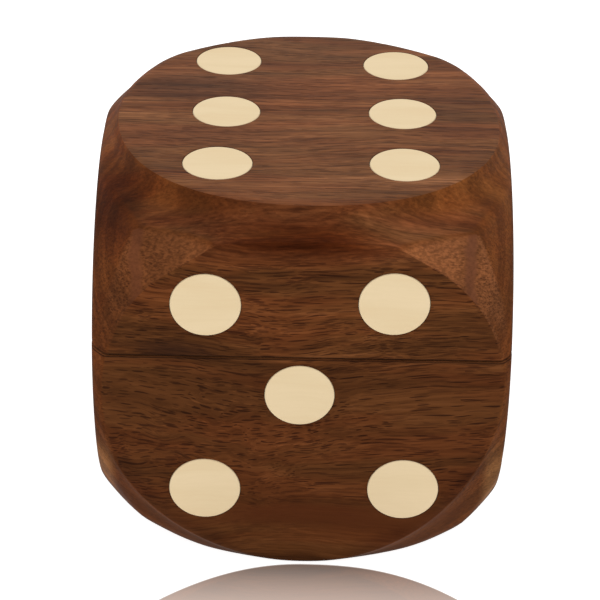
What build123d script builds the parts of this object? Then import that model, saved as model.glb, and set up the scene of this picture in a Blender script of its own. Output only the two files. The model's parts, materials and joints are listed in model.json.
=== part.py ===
"""Die-shaped hardwood box with a hinged lid.

One solid block of dark wood is turned so that every face keeps a round flat with a
bevel around it, then sawn in two above the middle and hollowed from the cut.  The
lower part is the base, the upper part the lid.  Light wood pips are inlaid in all
six faces, 6 on top, 5 in front, 1 below, 2 behind, 3 on the right, 4 on the left.
Two brass butt hinges are let into the back of the two rims, with their barrels in
a bevelled groove that also stops the open lid.  Two pairs of small magnets in the
front of the rims hold the lid down.

Millimetres.  Origin: centre of the bottom face.  +X right, +Y back, +Z up.
"""
from build123d import *
import math
import os

# ---------------------------------------------------------------- driving sizes
SIDE = 76.2                 # width and depth of the block (3 in)
HALF = SIDE / 2
KERF = 1.1                  # height lost to the saw cut and the sanding of the rims
HEIGHT = SIDE - KERF
MID = HALF                  # middle height of the uncut block
SEAM = 46.3                 # height of the base's rim
GAP = 0.20                  # air between the two rims when shut

# round flat of each face: centre of its circle across and up the face, its radius,
# the radius of the soft edge around it, and the bevel beyond as (outward, inward)
# points measured from the flat's edge.  The top's bevel is hollow, like a shallow
# cove; the others are plain cones.
FLATS = {
    "top":    (0.8, 2.4, 36.4, 0.9, [(1.6, 2.4), (4.4, 4.1), (30.0, 13.0)]),
    "front":  (0.0, 0.0, 36.9, 1.2, [(30.0, 24.0)]),
    "left":   (0.2, -0.3, 36.3, 3.0, [(30.0, 28.6)]),
    "right":  (-0.2, -0.4, 37.5, 3.0, [(30.0, 27.8)]),
    "bottom": (1.1, 0.0, 37.2, 2.5, [(30.0, 28.8)]),
    "back":   (-0.7, 0.2, 37.9, 2.0, [(30.0, 35.5)]),
}
COVE = 2.5                  # radius in the hollow of the top's bevel

# the hollow
CAVITY = 59.0               # square hollow, side
CAVITY_R = 10.0             # its upright corners
FLOOR = 9.0                 # thickness under the hollow
ROOF = 9.5                  # thickness over it
FLOOR_FILLET = 3.0

# pips
PIP_R = 6.35                # 1/2 in across
PIP_T = 2.2
GLUE = 0.08                 # glue line round a pip
PIP_EASE = 0.12
# centre of every pip on its face, seen from outside: to the right, up
PIPS = {
    "top_1": ("lid", "top", -15.2, 25.7),
    "top_2": ("lid", "top", 17.6, 24.7),
    "top_3": ("lid", "top", -14.9, 3.3),
    "top_4": ("lid", "top", 18.3, 3.6),
    "top_5": ("lid", "top", -15.8, -17.7),
    "top_6": ("lid", "top", 18.1, -17.1),
    "front_1": ("lid", "front", -17.2, 57.3),
    "front_2": ("lid", "front", 16.3, 58.1),
    "front_3": ("base", "front", -0.2, 38.5),
    "front_4": ("base", "front", -17.5, 17.5),
    "front_5": ("base", "front", 19.3, 18.0),
    "bottom_1": ("base", "bottom", 0.4, -0.3),
    "back_1": ("lid", "back", -17.3, 57.9),
    "back_2": ("base", "back", 17.8, 18.1),
    "left_1": ("lid", "left", -17.6, 57.6),
    "left_2": ("lid", "left", 17.1, 58.0),
    "left_3": ("base", "left", -17.3, 18.2),
    "left_4": ("base", "left", 17.9, 17.8),
    "right_1": ("lid", "right", 17.5, 57.8),
    "right_2": ("base", "right", 0.3, 37.4),
    "right_3": ("base", "right", -17.7, 18.3),
}
# the plugs were turned by hand, and these two came out a little larger
PIP_RADII = {"front_4": 6.6, "front_5": 6.6}

# hinges
HINGE_X = 17.0              # centre of each hinge, left and right
HINGE_L = 16.0              # its length
AXIS_Y = HALF - 1.8         # the pins' line, just inside the back
AXIS_Z = SEAM + GAP / 2
BARREL_R = 1.6
PIN_R = 0.60
PIN_HEAD_R = 1.0
RUN = 0.05                  # running clearance of the lid's knuckle on the pin
KNUCKLES = (5.0, 5.8, 5.0)  # base, lid, base
KNUCKLE_GAP = 0.1
LEAF_T = 0.85
LEAF_IN = 30.6              # inner edge of the leaves (y)
MORTISE = 0.90
NOTCH_R = 1.90              # round notch in the rims for the barrels
STOP_ANGLE = 50.6           # each side of the groove along the back of the seam

# screws, countersunk
SCREW_X = 4.6               # from the hinge's centre
SCREW_Y = 33.2
SCREW_HEAD_R = 1.45          # small enough to pass the other leaf's knuckles
SCREW_R = 0.9
SCREW_L = 7.5
SCREW_HOLE = 0.04           # clearance of the screw in its holes
SLOT_W = 0.4
SLOT_D = 0.35

# closing magnets
MAGNET_X = 20.0
MAGNET_Y = -33.8
MAGNET_R = 2.5
MAGNET_T = 2.0
MAGNET_HOLE = 0.05

os.makedirs("parts", exist_ok=True)

made = []


def finish(part, name):
    """Label a finished piece and write it to its own file."""
    part.label = name
    export_step(part, "parts/" + name + ".step")
    made.append((name, part))


# ---------------------------------------------------------------- the turned block
CENTRE = Vector(0, 0, MID)
NORMAL = {
    "top": Vector(0, 0, 1), "bottom": Vector(0, 0, -1),
    "front": Vector(0, -1, 0), "back": Vector(0, 1, 0),
    "left": Vector(-1, 0, 0), "right": Vector(1, 0, 0),
}
# direction that counts as "to the right" on each face when it is looked at
ACROSS = {
    "top": Vector(1, 0, 0), "bottom": Vector(1, 0, 0),
    "front": Vector(1, 0, 0), "back": Vector(-1, 0, 0),
    "left": Vector(0, -1, 0), "right": Vector(0, 1, 0),
}


def up_on(face):
    """Upward direction on a face that is looked at from outside."""
    return NORMAL[face].cross(ACROSS[face])


def flat_axis(face):
    """Point at the middle of a face's round flat."""
    across, up = FLATS[face][:2]
    return CENTRE + NORMAL[face] * HALF + ACROSS[face] * across + up_on(face) * up


with BuildPart() as block:
    for number, face in enumerate(FLATS):
        radius, ease, bevel = FLATS[face][2:]
        centre = flat_axis(face)
        n, u = NORMAL[face], ACROSS[face]
        # local x runs outward along the face, local y along its normal
        plane = Plane(origin=centre, x_dir=u, z_dir=u.cross(n))
        outline = [(0, 0), (radius, 0)] + [(radius + out, -down) for out, down in bevel]
        with BuildSketch(plane):
            with BuildLine():
                Polyline(*outline, (outline[-1][0], -90), (0, -90), close=True)
            make_face()
            for at, (x, y) in enumerate(outline[1:-1]):
                spot = centre + u * x + n * y
                corner = [v for v in vertices() if (v.center() - spot).length < 1e-3]
                fillet(corner, COVE if at else ease)
        revolve(axis=Axis(centre, n), revolution_arc=360,
                mode=Mode.ADD if number == 0 else Mode.INTERSECT)

# ---------------------------------------------------------------- cutters
with BuildPart() as base_hollow:
    with BuildSketch(Plane.XY.offset(FLOOR)):
        RectangleRounded(CAVITY, CAVITY, CAVITY_R)
    extrude(amount=SEAM - FLOOR + 5)
    fillet(base_hollow.faces().sort_by(Axis.Z)[0].edges(), FLOOR_FILLET)

with BuildPart() as lid_hollow:
    with BuildSketch(Plane.XY.offset(SEAM - 5)):
        RectangleRounded(CAVITY, CAVITY, CAVITY_R)
    extrude(amount=HEIGHT - ROOF - SEAM + 5)
    fillet(lid_hollow.faces().sort_by(Axis.Z)[-1].edges(), FLOOR_FILLET)

SLOPE = math.tan(math.radians(STOP_ANGLE))


def pip_radius(name):
    return PIP_RADII.get(name, PIP_R)


def pip_plane(name):
    """Plane on the outside of a pip, normal outward, at its centre."""
    body, face, across, up = PIPS[name]
    n = NORMAL[face]
    if face == "top":
        spot = Vector(across, up, HEIGHT)
    elif face == "bottom":
        spot = Vector(across, up, 0)
    else:
        spot = n * HALF + ACROSS[face] * across + Vector(0, 0, up)
    return Plane(origin=spot, x_dir=ACROSS[face], z_dir=n)


# ---------------------------------------------------------------- base
with BuildPart() as base_body:
    add(block.part)
    split(bisect_by=Plane.XY.offset(SEAM), keep=Keep.BOTTOM)
    add(base_hollow.part, mode=Mode.SUBTRACT)
    # bevel along the back of the rim
    with BuildSketch(Plane.YZ):
        with BuildLine():
            Polyline((AXIS_Y, SEAM), (HALF + 1, SEAM), (HALF + 1, SEAM - (HALF + 1 - AXIS_Y) * SLOPE), close=True)
        make_face()
    extrude(amount=HALF + 5, both=True, mode=Mode.SUBTRACT)
    # pockets for the pips
    for name, (body, face, across, up) in PIPS.items():
        if body == "base":
            with BuildSketch(pip_plane(name)):
                Circle(pip_radius(name) + GLUE)
            extrude(amount=-PIP_T, mode=Mode.SUBTRACT)
    # hinge seats: mortise, barrel notch, screw holes
    for x in (-HINGE_X, HINGE_X):
        with BuildSketch(Plane.XY.offset(SEAM - MORTISE)):
            with Locations((x, (LEAF_IN + AXIS_Y) / 2)):
                Rectangle(HINGE_L + 0.1, AXIS_Y - LEAF_IN)
        extrude(amount=2, mode=Mode.SUBTRACT)
        with BuildSketch(Plane.YZ.offset(x)):
            with Locations((AXIS_Y, AXIS_Z)):
                Circle(NOTCH_R)
        extrude(amount=HINGE_L / 2 + 0.6, both=True, mode=Mode.SUBTRACT)
        with BuildSketch(Plane.XY.offset(SEAM)):
            with Locations((x - SCREW_X, SCREW_Y), (x + SCREW_X, SCREW_Y)):
                Circle(SCREW_R + SCREW_HOLE)
        extrude(amount=-(SCREW_L + 1), mode=Mode.SUBTRACT)
    # magnet pockets
    with BuildSketch(Plane.XY.offset(SEAM)):
        with Locations((-MAGNET_X, MAGNET_Y), (MAGNET_X, MAGNET_Y)):
            Circle(MAGNET_R + MAGNET_HOLE)
    extrude(amount=-(MAGNET_T + 0.05), mode=Mode.SUBTRACT)
finish(base_body.part, "base_body")

# ---------------------------------------------------------------- lid
lowered = block.part.moved(Location((0, 0, -KERF)))
RIM = SEAM + GAP
with BuildPart() as lid_body:
    add(lowered)
    split(bisect_by=Plane.XY.offset(RIM), keep=Keep.TOP)
    add(lid_hollow.part, mode=Mode.SUBTRACT)
    with BuildSketch(Plane.YZ):
        with BuildLine():
            Polyline((AXIS_Y, RIM), (HALF + 1, RIM), (HALF + 1, RIM + (HALF + 1 - AXIS_Y) * SLOPE), close=True)
        make_face()
    extrude(amount=HALF + 5, both=True, mode=Mode.SUBTRACT)
    for name, (body, face, across, up) in PIPS.items():
        if body == "lid":
            with BuildSketch(pip_plane(name)):
                Circle(pip_radius(name) + GLUE)
            extrude(amount=-PIP_T, mode=Mode.SUBTRACT)
    for x in (-HINGE_X, HINGE_X):
        with BuildSketch(Plane.XY.offset(RIM - 2 + MORTISE)):
            with Locations((x, (LEAF_IN + AXIS_Y) / 2)):
                Rectangle(HINGE_L + 0.1, AXIS_Y - LEAF_IN)
        extrude(amount=2, mode=Mode.SUBTRACT)
        with BuildSketch(Plane.YZ.offset(x)):
            with Locations((AXIS_Y, AXIS_Z)):
                Circle(NOTCH_R)
        extrude(amount=HINGE_L / 2 + 0.6, both=True, mode=Mode.SUBTRACT)
        with BuildSketch(Plane.XY.offset(RIM)):
            with Locations((x - SCREW_X, SCREW_Y), (x + SCREW_X, SCREW_Y)):
                Circle(SCREW_R + SCREW_HOLE)
        extrude(amount=SCREW_L + 1, mode=Mode.SUBTRACT)
    with BuildSketch(Plane.XY.offset(RIM)):
        with Locations((-MAGNET_X, MAGNET_Y), (MAGNET_X, MAGNET_Y)):
            Circle(MAGNET_R + MAGNET_HOLE)
    extrude(amount=MAGNET_T + 0.05, mode=Mode.SUBTRACT)
finish(lid_body.part, "lid_body")

# ---------------------------------------------------------------- pips
for name, (body, face, across, up) in PIPS.items():
    with BuildPart() as pip:
        with BuildSketch(pip_plane(name)):
            Circle(pip_radius(name))
        extrude(amount=-PIP_T)
        outer = pip.faces().sort_by(Axis((0, 0, 0), NORMAL[face]))[-1]
        chamfer(outer.edges(), PIP_EASE)
    finish(pip.part, "pip_" + name)

# ---------------------------------------------------------------- hinges
LEAF_BACK = AXIS_Y - 1.0                    # where a leaf runs into its own knuckles
LEAF_CLEAR = AXIS_Y - BARREL_R - 0.25       # where it stops short of the other leaf's
LID_SPAN = KNUCKLES[1]


def leaf(x, low, high, spans, bore, head_up):
    """One hinge leaf: a plate with its knuckles, centred on x.

    spans are the knuckles' ends along x, measured from the centre.
    """
    with BuildPart() as made_leaf:
        # plate, up to the clearance line all along
        with BuildSketch(Plane.XY.offset(low)):
            with Locations((x, (LEAF_IN + 0.05 + LEAF_CLEAR) / 2)):
                Rectangle(HINGE_L, LEAF_CLEAR - LEAF_IN - 0.05)
        extrude(amount=high - low)
        for a, b in spans:
            # tongue from the plate to the knuckle
            with BuildSketch(Plane.XY.offset(low)):
                with Locations((x + (a + b) / 2, (LEAF_CLEAR - 1 + LEAF_BACK) / 2)):
                    Rectangle(b - a, LEAF_BACK - LEAF_CLEAR + 1)
            extrude(amount=high - low)
            with BuildSketch(Plane.YZ.offset(x + a)):
                with Locations((AXIS_Y, AXIS_Z)):
                    Circle(BARREL_R)
            extrude(amount=b - a)
            with BuildSketch(Plane.YZ.offset(x + a)):
                with Locations((AXIS_Y, AXIS_Z)):
                    Circle(bore)
            extrude(amount=b - a, mode=Mode.SUBTRACT)
        # countersunk screw holes
        face_z = high if head_up else low
        away = -1 if head_up else 1
        for sx in (-SCREW_X, SCREW_X):
            with BuildSketch(Plane(origin=(x + sx, SCREW_Y, face_z), x_dir=(1, 0, 0), z_dir=(0, -1, 0))):
                with BuildLine():
                    Polyline(
                        (0, 0.5 * -away), (SCREW_HEAD_R + SCREW_HOLE, 0.5 * -away),
                        (SCREW_HEAD_R + SCREW_HOLE, 0.1 * away),
                        (SCREW_R + SCREW_HOLE, (0.1 + SCREW_HEAD_R - SCREW_R) * away),
                        (SCREW_R + SCREW_HOLE, 2 * away), (0, 2 * away), close=True)
                make_face()
            revolve(axis=Axis((x + sx, SCREW_Y, face_z), (0, 0, 1)), revolution_arc=360, mode=Mode.SUBTRACT)
    return made_leaf.part


def screws(x, face_z, away):
    """The two countersunk screws through a leaf; away is -1 for heads that face up."""
    with BuildPart() as pair:
        for sx in (-SCREW_X, SCREW_X):
            with BuildSketch(Plane(origin=(x + sx, SCREW_Y, face_z), x_dir=(1, 0, 0), z_dir=(0, -1, 0))):
                with BuildLine():
                    Polyline(
                        (0, 0.05 * away), (SCREW_HEAD_R - 0.05, 0.05 * away),
                        (SCREW_HEAD_R, 0.1 * away),
                        (SCREW_R, (0.1 + SCREW_HEAD_R - SCREW_R) * away),
                        (SCREW_R, (SCREW_L - 1.2) * away), (0.15, SCREW_L * away), (0, SCREW_L * away), close=True)
                make_face()
            revolve(axis=Axis((x + sx, SCREW_Y, face_z), (0, 0, 1)), revolution_arc=360)
        # driver slots, each turned as its screw happened to stop
        for sx, turn in ((-SCREW_X, 24), (SCREW_X, -58)):
            with BuildSketch(Plane(origin=(x + sx, SCREW_Y, face_z - 0.3 * away), x_dir=(1, 0, 0), z_dir=(0, 0, away))):
                Rectangle(2 * SCREW_HEAD_R + 0.4, SLOT_W, rotation=turn)
            extrude(amount=0.3 + SLOT_D, mode=Mode.SUBTRACT)
    return pair.part


half = HINGE_L / 2
outer_spans = [(-half, -half + KNUCKLES[0]), (half - KNUCKLES[2], half)]
inner_span = [(-LID_SPAN / 2, LID_SPAN / 2)]
BASE_LEAF_TOP = SEAM - (MORTISE - LEAF_T)
LID_LEAF_LOW = RIM + (MORTISE - LEAF_T)

for side, x in (("left", -HINGE_X), ("right", HINGE_X)):
    base_leaf = leaf(x, BASE_LEAF_TOP - LEAF_T, BASE_LEAF_TOP, outer_spans, PIN_R + 0.02, True)
    finish(base_leaf, side + "_hinge_base_leaf")
    lid_leaf = leaf(x, LID_LEAF_LOW, LID_LEAF_LOW + LEAF_T, inner_span, PIN_R + RUN, False)
    finish(lid_leaf, side + "_hinge_lid_leaf")
    with BuildPart() as pin:
        with BuildSketch(Plane.YZ.offset(x - half)):
            with Locations((AXIS_Y, AXIS_Z)):
                Circle(PIN_R)
        extrude(amount=HINGE_L)
        # peened ends, which bear on the outer knuckles
        with BuildSketch(Plane.YZ.offset(x + half)):
            with Locations((AXIS_Y, AXIS_Z)):
                Circle(PIN_HEAD_R)
        extrude(amount=0.4)
        with BuildSketch(Plane.YZ.offset(x - half)):
            with Locations((AXIS_Y, AXIS_Z)):
                Circle(PIN_HEAD_R)
        extrude(amount=-0.4)
        ends = pin.faces().filter_by(Axis.X).sort_by(Axis.X)
        chamfer([ends[0].edges(), ends[-1].edges()], 0.2)
    finish(pin.part, side + "_hinge_pin")
    finish(screws(x, BASE_LEAF_TOP, -1), side + "_hinge_base_screws")
    finish(screws(x, LID_LEAF_LOW, 1), side + "_hinge_lid_screws")

# ---------------------------------------------------------------- magnets
with BuildPart() as base_magnets:
    with BuildSketch(Plane.XY.offset(SEAM - 0.05 - MAGNET_T)):
        with Locations((-MAGNET_X, MAGNET_Y), (MAGNET_X, MAGNET_Y)):
            Circle(MAGNET_R)
    extrude(amount=MAGNET_T)
    chamfer(base_magnets.faces().filter_by(Axis.Z).edges(), 0.15)
finish(base_magnets.part, "base_magnets")

with BuildPart() as lid_magnets:
    with BuildSketch(Plane.XY.offset(RIM + 0.05)):
        with Locations((-MAGNET_X, MAGNET_Y), (MAGNET_X, MAGNET_Y)):
            Circle(MAGNET_R)
    extrude(amount=MAGNET_T)
    chamfer(lid_magnets.faces().filter_by(Axis.Z).edges(), 0.15)
finish(lid_magnets.part, "lid_magnets")

for name, part in made:
    box = part.bounding_box()
    print(name, len(part.solids()), round(part.volume, 2),
          [round(v, 2) for v in (box.min.X, box.min.Y, box.min.Z, box.max.X, box.max.Y, box.max.Z)])
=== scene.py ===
"""Dice box with a hinged lid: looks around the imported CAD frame.

Metres, same frame as the CAD model: origin at the middle of the underside, +X right,
+Y back, +Z up.  The two wooden shells are remade here as finer meshes of the same
turned block; pips, hinges, screws and magnets are the CAD pieces with materials.
"""
import bpy
import bmesh
import json
import math
import numpy as np
from mathutils import Matrix, Vector


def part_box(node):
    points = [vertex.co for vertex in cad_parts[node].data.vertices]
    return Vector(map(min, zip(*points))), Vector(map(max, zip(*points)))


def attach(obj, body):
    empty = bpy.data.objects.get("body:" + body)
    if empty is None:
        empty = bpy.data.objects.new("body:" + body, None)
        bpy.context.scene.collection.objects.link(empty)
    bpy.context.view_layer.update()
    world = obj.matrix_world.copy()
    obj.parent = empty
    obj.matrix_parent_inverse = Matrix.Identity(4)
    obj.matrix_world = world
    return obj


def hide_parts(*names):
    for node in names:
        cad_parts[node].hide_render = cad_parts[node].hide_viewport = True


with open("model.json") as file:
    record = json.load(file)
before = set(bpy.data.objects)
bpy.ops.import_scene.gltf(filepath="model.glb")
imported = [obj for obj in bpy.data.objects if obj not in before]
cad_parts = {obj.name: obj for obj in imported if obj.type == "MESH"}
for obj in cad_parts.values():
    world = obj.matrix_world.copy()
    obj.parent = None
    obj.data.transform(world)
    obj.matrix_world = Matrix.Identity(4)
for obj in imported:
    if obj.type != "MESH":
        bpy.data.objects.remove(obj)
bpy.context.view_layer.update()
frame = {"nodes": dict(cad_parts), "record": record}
NODES = frame["nodes"]
scene = bpy.context.scene

# ------------------------------------------------------------------ sizes, in metres
MM = 0.001
A = 0.0381                      # half the block's side
SEAM = 0.0463
GAP = 0.0002
KERF = 0.0011
RIM = SEAM + GAP
HEIGHT = 2 * A - KERF

CAVITY, CAVITY_R = 0.059, 0.010
FLOOR, ROOF, FLOOR_FILLET = 0.009, 0.0095, 0.003
PIP_T, GLUE = 0.0022, 0.00008
HINGE_X, HINGE_L = 0.017, 0.016
AXIS_Y, AXIS_Z = A - 0.0018, SEAM + GAP / 2
LEAF_IN, MORTISE, NOTCH_R, STOP_ANGLE = 0.0306, 0.0009, 0.0019, 50.6
SCREW_X, SCREW_Y, SCREW_R, SCREW_L = 0.0046, 0.0332, 0.00094, 0.0085
MAGNET_X, MAGNET_Y, MAGNET_R, MAGNET_T = 0.020, -0.0338, 0.00255, 0.00205

# ------------------------------------------------------------------ the turned block
# Each face keeps a nearly round flat with a bevel beyond it.  In units of half the
# side, from the middle of the uncut block: a and b are the axes across the face and
# h the one out of it; c is the flat's centre, r its radius, k the bevel's slope and
# step the extra depth of the hollow next to the flat; wave holds the flat's slight
# departures from round, cos and sin of 2, 3 and 4 times the angle; soft is how much
# the edge of the flat is rounded over.
FACES = {
    "T": dict(a=0, b=1, h=2, s=1, c=(0.0212, 0.0639), r=0.9543, k=0.3477, step=0.0830, soft=0.012,
              wave=(0.0029, -0.0019, -0.0012, -0.0030, -0.0149, -0.0016)),
    "B": dict(a=0, b=1, h=2, s=-1, c=(0.0291, 0.0004), r=0.9572, k=0.9900, step=-0.0438, soft=0.018),
    "F": dict(a=0, b=2, h=1, s=-1, c=(0.0008, -0.0005), r=0.9693, k=0.6908, step=0.0262, soft=0.016,
              wave=(-0.0011, 0.0064, -0.0026, 0.0073, 0.0005, 0.0070)),
    "K": dict(a=0, b=2, h=1, s=1, c=(0.0190, 0.0060), r=1.0032, k=1.1991, step=0.0, soft=0.012),
    "L": dict(a=1, b=2, h=0, s=-1, c=(-0.0062, -0.0080), r=0.9123, k=0.9667, step=-0.0415, soft=0.014),
    "R": dict(a=1, b=2, h=0, s=1, c=(-0.0061, -0.0105), r=0.9482, k=0.9302, step=-0.0355, soft=0.014),
}
COVE = 0.035                    # how quickly the hollow next to a flat dies away
# rounding of the creases between the bevels of two faces
CREASE = {"TL": 0.022, "TR": 0.022, "TF": 0.012, "TK": 0.012, "FL": 0.018, "FR": 0.014,
          "FB": 0.020, "KL": 0.020, "KR": 0.020, "KB": 0.020, "LB": 0.024, "RB": 0.024}


def radius_at(f, theta):
    """Radius of a face's flat in the direction theta."""
    r = np.full_like(theta, f["r"])
    if "wave" in f:
        for n, (c, s) in zip((2, 3, 4), zip(f["wave"][::2], f["wave"][1::2])):
            r = r + c * np.cos(n * theta) + s * np.sin(n * theta)
    return r


def flat_radius(name, u, v):
    f = FACES[name]
    theta = np.arctan2(v, u)
    r = radius_at(f, theta)
    if name == "F":             # the flat is a little blunt at its upper left and right
        deg = np.degrees(theta)
        r = r - 0.0399 * np.exp(-((deg - 125) / 14) ** 2) - 0.0209 * np.exp(-((deg - 55) / 14) ** 2)
    return r


def two(name, P):
    """Plane and bevel functions of a face, negative inside."""
    f = FACES[name]
    H = P[:, f["h"]] * f["s"]
    u, v = P[:, f["a"]] - f["c"][0], P[:, f["b"]] - f["c"][1]
    rho = np.hypot(u, v)
    k, step = f["k"], f["step"]
    if name == "T":             # the hollow is deepest towards the front
        w = 1 - np.clip(-v / np.maximum(rho, 1e-6), 0, 1)
        k, step = k - 0.0099 * w, step - 0.0275 * w
    s = rho - flat_radius(name, u, v)
    drop = k * np.maximum(s, -0.5) + step * (1 - np.exp(-np.maximum(s, 0) / COVE))
    return H - 1, (H - 1 + drop) / np.sqrt(1 + k * k)


def smax(a, b, k):
    return np.maximum(a, b) + np.maximum(k - np.abs(a - b), 0) ** 2 / (4 * k)


def sharp(name, P):
    return np.maximum(*two(name, P))


ORDER = "TBFKLR"


def smooth(P):
    """The block with its edges eased, negative inside."""
    G = {n: smax(*two(n, P), FACES[n]["soft"]) for n in ORDER}
    total = np.max(np.stack(list(G.values())), 0)
    extra = np.zeros(len(P))
    for pair, k in CREASE.items():
        a, b = G[pair[0]], G[pair[1]]
        near = np.maximum(a, b) > total - 1e-9
        extra = np.maximum(extra, np.where(near, np.maximum(k - np.abs(a - b), 0) ** 2 / (4 * k), 0))
    return total + extra


def gradient(P, e=2e-4):
    g = np.empty_like(P)
    for i in range(3):
        d = np.zeros(3)
        d[i] = e
        g[:, i] = smooth(P + d) - smooth(P - d)
    return g / np.maximum(np.linalg.norm(g, axis=1, keepdims=True), 1e-12)


def to_surface(P):
    """Moves points along their rays from the middle of the block onto its surface."""
    D = P / np.linalg.norm(P, axis=1, keepdims=True)
    low, high = np.full(len(D), 0.6), np.full(len(D), 1.9)
    for _ in range(34):
        mid = (low + high) / 2
        inside = smooth(D * mid[:, None]) < 0
        low, high = np.where(inside, mid, low), np.where(inside, high, mid)
    return D * ((low + high) / 2)[:, None]


def crease(n, m, w, ends, count):
    """Points of the crease between faces n and m, from ends[0] to ends[1] along axis w."""
    fn, fm = FACES[n], FACES[m]
    en, em, ew = np.zeros(3), np.zeros(3), np.zeros(3)
    en[fn["h"]], em[fm["h"]], ew[w] = fn["s"], fm["s"], 1
    tau = [e[w] / np.hypot(e[fn["h"]], e[fm["h"]]) for e in ends]
    t = np.linspace(tau[0], tau[1], count + 1)[1:-1]
    low, high = np.full(len(t), 0.15), np.full(len(t), math.pi / 2 - 0.15)

    def hit(phi):
        D = np.cos(phi)[:, None] * en + np.sin(phi)[:, None] * em + t[:, None] * ew
        lo, hi = np.full(len(t), 0.4), np.full(len(t), 2.0)
        for _ in range(36):
            mid = (lo + hi) / 2
            P = D * mid[:, None]
            inside = np.maximum(sharp(n, P), sharp(m, P)) < 0
            lo, hi = np.where(inside, mid, lo), np.where(inside, hi, mid)
        return D * lo[:, None]

    for _ in range(36):
        mid = (low + high) / 2
        P = hit(mid)
        first = sharp(n, P) > sharp(m, P)        # still on face n: turn towards m
        low, high = np.where(first, mid, low), np.where(first, high, mid)
    curve = np.vstack([ends[0], hit((low + high) / 2), ends[1]])
    for _ in range(400):        # where it doubles back, as seen from either face, ease it
        again = np.zeros(len(curve), bool)
        for f in (fn, fm):
            turn = np.unwrap(np.arctan2(curve[:, f["b"]] - f["c"][1], curve[:, f["a"]] - f["c"][0]))
            turn *= np.sign(turn[-1] - turn[0])
            step = np.diff(turn)
            back = step < 0.25 * np.median(step)
            for j in (-1, 0, 1, 2):
                again[np.clip(np.where(back)[0] + j, 0, len(curve) - 1)] = True
        again[[0, -1]] = False
        if not again.any():
            break
        i = np.where(again)[0]
        curve[i] = (curve[i - 1] + curve[i] + curve[i + 1]) / 3
    return curve[1:-1]


def corner(sx, sy, sz):
    names = ["L" if sx < 0 else "R", "F" if sy < 0 else "K", "B" if sz < 0 else "T"]
    P = np.array([[0.86 * sx, 0.86 * sy, 0.86 * sz]])
    for _ in range(40):
        g = np.array([sharp(n, P)[0] for n in names])
        J = np.empty((3, 3))
        for i in range(3):
            d = np.zeros(3)
            d[i] = 1e-5
            J[:, i] = [(sharp(n, P + d)[0] - sharp(n, P - d)[0]) / 2e-5 for n in names]
        P = P - 0.7 * np.linalg.solve(J, g)[None, :]
    return P[0]


def block_mesh():
    """Vertices and faces of the whole turned block, rings of quads on every face that
    follow its flat's edge and end on its creases."""
    COUNT = 104
    points, edge_index = [], {}
    corners = {}
    for sx in (-1, 1):
        for sy in (-1, 1):
            for sz in (-1, 1):
                corners[sx, sy, sz] = len(points)
                points.append(corner(sx, sy, sz))
    side = {"L": (0, -1), "R": (0, 1), "F": (1, -1), "K": (1, 1), "B": (2, -1), "T": (2, 1)}
    for n, m in ("TF", "TK", "TL", "TR", "BF", "BK", "BL", "BR", "FL", "FR", "KL", "KR"):
        w = ({0, 1, 2} - {side[n][0], side[m][0]}).pop()
        key = [0, 0, 0]
        key[side[n][0]], key[side[m][0]] = side[n][1], side[m][1]
        key[w] = -1
        first = corners[tuple(key)]
        key[w] = 1
        last = corners[tuple(key)]
        new = crease(n, m, w, (points[first], points[last]), COUNT)
        ids = [first] + list(range(len(points), len(points) + len(new))) + [last]
        points.extend(new)
        edge_index[frozenset((n, m))] = ids
    points = [np.asarray(p) for p in points]
    shared = len(points)
    inner = (0.90, 0.93, 0.95, 0.97, 0.988, 0.996, 1.0)
    outer = (0.035, 0.085, 0.15, 0.24, 0.35, 0.47, 0.59, 0.71, 0.82, 0.91, 0.965)
    faces = []
    for n in ORDER:
        f = FACES[n]
        around = {"T": "FRKL", "B": "FRKL", "F": "BRTL", "K": "BRTL", "L": "BKTF", "R": "BKTF"}[n]
        loop = []
        for i, m in enumerate(around):
            ids = edge_index[frozenset((n, m))]
            nxt = set(edge_index[frozenset((n, around[(i + 1) % 4]))])
            if ids[-1] not in nxt:
                ids = ids[::-1]
            loop += ids[:-1]
        rim = np.array([points[i] for i in loop])
        u, v = rim[:, f["a"]] - f["c"][0], rim[:, f["b"]] - f["c"][1]
        edge = np.hypot(u, v)
        cu, cv = u / edge, v / edge
        flat = np.minimum(flat_radius(n, u, v), edge - 0.024)
        rings = [flat * q for q in inner] + [flat + (edge - flat) * q for q in outer]
        ring_ids = []
        for rho in rings:
            P = np.zeros((len(loop), 3))
            P[:, f["a"]] = f["c"][0] + rho * cu
            P[:, f["b"]] = f["c"][1] + rho * cv
            low, high = np.full(len(loop), 0.3), np.full(len(loop), 1.05)
            for _ in range(30):
                mid = (low + high) / 2
                P[:, f["h"]] = f["s"] * mid
                inside = sharp(n, P) < 0
                low, high = np.where(inside, mid, low), np.where(inside, high, mid)
            P[:, f["h"]] = f["s"] * low
            ring_ids.append(list(range(len(points), len(points) + len(loop))))
            points.extend(P)
        ring_ids.append(loop)
        faces.append(ring_ids[0])
        for one, nxt in zip(ring_ids, ring_ids[1:]):
            for i in range(len(loop)):
                j = (i + 1) % len(loop)
                faces.append([one[i], one[j], nxt[j], nxt[i]])
    P = to_surface(np.array(points))
    return P, faces


def mesh_object(name, verts, faces):
    mesh = bpy.data.meshes.new(name)
    mesh.from_pydata([tuple(v) for v in verts], [], [tuple(f) for f in faces])
    mesh.update()
    obj = bpy.data.objects.new(name, mesh)
    scene.collection.objects.link(obj)
    bm = bmesh.new()
    bm.from_mesh(mesh)
    bmesh.ops.recalc_face_normals(bm, faces=bm.faces)
    bm.to_mesh(mesh)
    bm.free()
    return obj


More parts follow.
